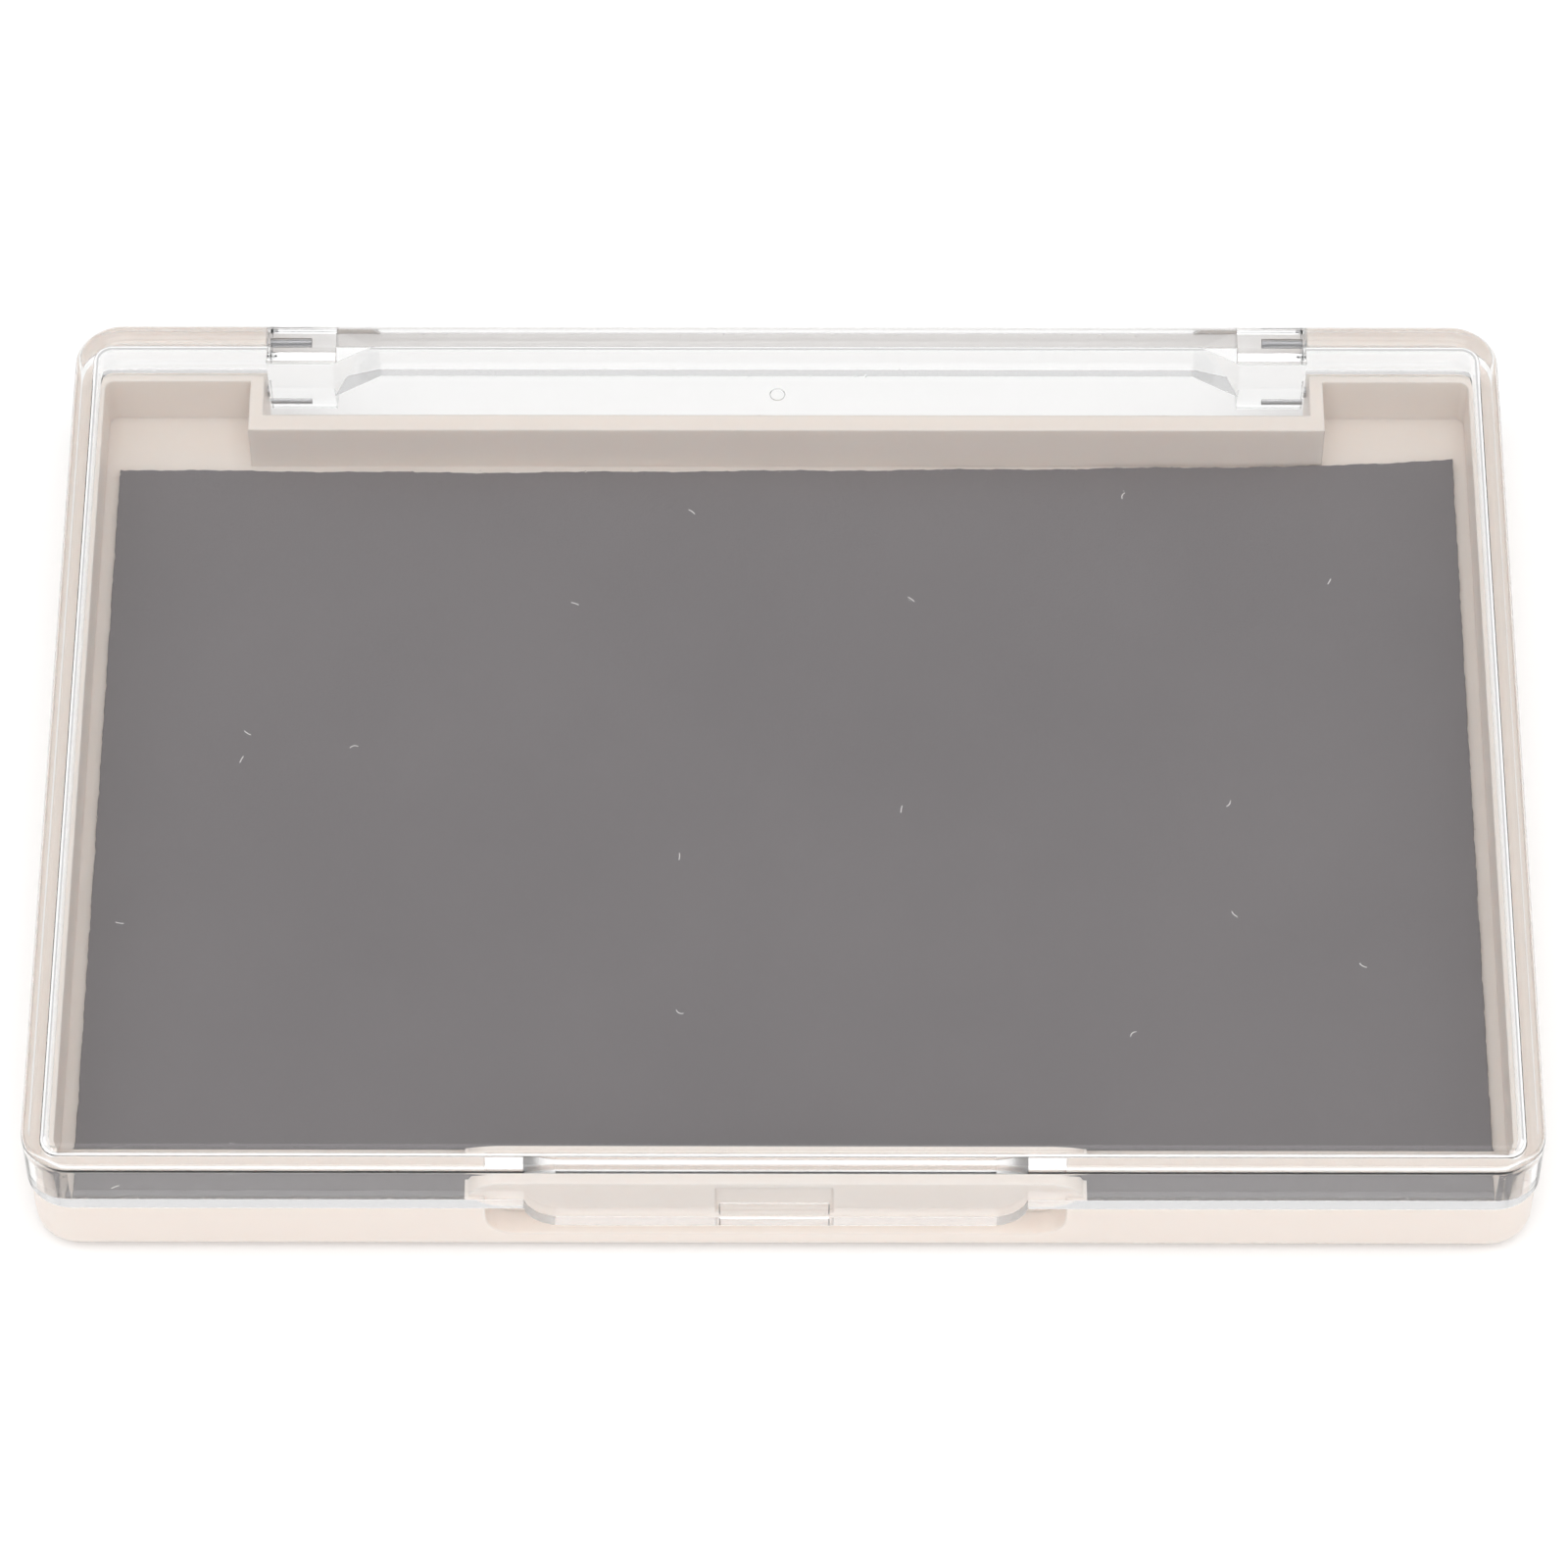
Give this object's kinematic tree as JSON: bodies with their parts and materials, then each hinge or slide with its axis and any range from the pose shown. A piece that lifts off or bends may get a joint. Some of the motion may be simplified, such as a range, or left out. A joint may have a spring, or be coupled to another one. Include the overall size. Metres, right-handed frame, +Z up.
{
  "type": "magnetic palette case",
  "caption": "Shallow hinged palette case: opaque tray with a magnetic sheet on its floor under a clear lid on two short pins, with a front finger tab",
  "frame": {"origin": "On the table plane, under the middle of the closed case", "axes": "+X along the width, to the right seen from the front; +Y to the back, where the hinge is; -Y the front with the finger tab; +Z up"},
  "size_m": [0.155, 0.1084, 0.0164],
  "materials": {
    "tray_plastic": "glossy pale pink-beige moulding",
    "clear_plastic": "polished, water-clear",
    "pin_steel": "drawn wire",
    "adhesive": "tacky film",
    "magnet_rubber": "satin dark grey"
  },
  "bodies": {
    "base": {"base_tray": "tray_plastic", "adhesive_film": "adhesive", "magnetic_sheet": "magnet_rubber"},
    "lid": {"clear_lid": "clear_plastic", "hinge_pin_left": "pin_steel", "hinge_pin_right": "pin_steel"}
  },
  "joints": [
    {"name": "lid_hinge", "type": "hinge", "parent": "base", "child": "lid", "pos_m": [0, 0.05235, 0.0061], "axis": [-1, 0, 0], "range_deg": [0, 100]}
  ]
}
